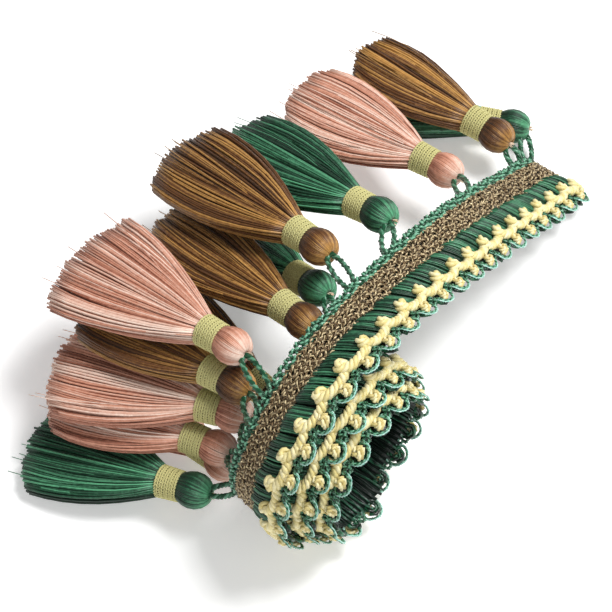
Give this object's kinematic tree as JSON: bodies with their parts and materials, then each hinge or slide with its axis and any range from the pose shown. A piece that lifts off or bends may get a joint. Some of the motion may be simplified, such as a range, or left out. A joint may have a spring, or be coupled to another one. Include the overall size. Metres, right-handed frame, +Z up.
{
  "type": "tassel trim (a braid with tassels along one edge, loosely rolled)",
  "caption": "Loosely rolled braid trim with a scalloped cream edge and silky tassels in green, pink and brown hanging from its other edge.",
  "frame": {"origin": "centre of the bounding box's bottom face, on the surface that the trim lies on", "axes": "+Z up; +Y along the run, away from the roll; +X across the braid, from the tassels to the scalloped edge"},
  "size_m": [0.1336, 0.2296, 0.0802],
  "materials": {
    "braid_ground": "matt woven ground",
    "green_floss": "satin rayon floss",
    "pink_floss": "satin rayon floss",
    "brown_floss": "satin rayon floss",
    "metallic_gimp": "tan and metallic gimp braid",
    "cream_rope": "satin twisted cord",
    "olive_gold_knit": "metallic knitted band",
    "green_cord": "satin twisted cord"
  },
  "bodies": {
    "root": {"ground_band": "braid_ground", "picot_edge": "green_floss", "gimp_strip": "metallic_gimp", "floss_row": "green_floss", "rope_row": "cream_rope", "scallop_edge": "cream_rope", "tassel_far_green": "green_floss", "neck_band_far_green": "olive_gold_knit", "loop_far_green": "green_cord", "tassel_far_brown": "brown_floss", "neck_band_far_brown": "olive_gold_knit", "loop_far_brown": "green_cord", "tassel_far_pink": "pink_floss", "neck_band_far_pink": "olive_gold_knit", "loop_far_pink": "green_cord", "tassel_mid_green": "green_floss", "neck_band_mid_green": "olive_gold_knit", "loop_mid_green": "green_cord", "tassel_crest_brown": "brown_floss", "neck_band_crest_brown": "olive_gold_knit", "loop_crest_brown": "green_cord", "tassel_under_green": "green_floss", "neck_band_under_green": "olive_gold_knit", "loop_under_green": "green_cord", "tassel_under_brown": "brown_floss", "neck_band_under_brown": "olive_gold_knit", "loop_under_brown": "green_cord", "tassel_top_pink": "pink_floss", "neck_band_top_pink": "olive_gold_knit", "loop_top_pink": "green_cord", "tassel_side_brown": "brown_floss", "neck_band_side_brown": "olive_gold_knit", "loop_side_brown": "green_cord", "tassel_side_pink": "pink_floss", "neck_band_side_pink": "olive_gold_knit", "loop_side_pink": "green_cord", "tassel_low_pink": "pink_floss", "neck_band_low_pink": "olive_gold_knit", "loop_low_pink": "green_cord", "tassel_low_green": "green_floss", "neck_band_low_green": "olive_gold_knit", "loop_low_green": "green_cord", "tassel_hidden_pink": "pink_floss", "neck_band_hidden_pink": "olive_gold_knit", "loop_hidden_pink": "green_cord", "tassel_hidden_brown": "brown_floss", "neck_band_hidden_brown": "olive_gold_knit", "loop_hidden_brown": "green_cord"}
  },
  "joints": []
}
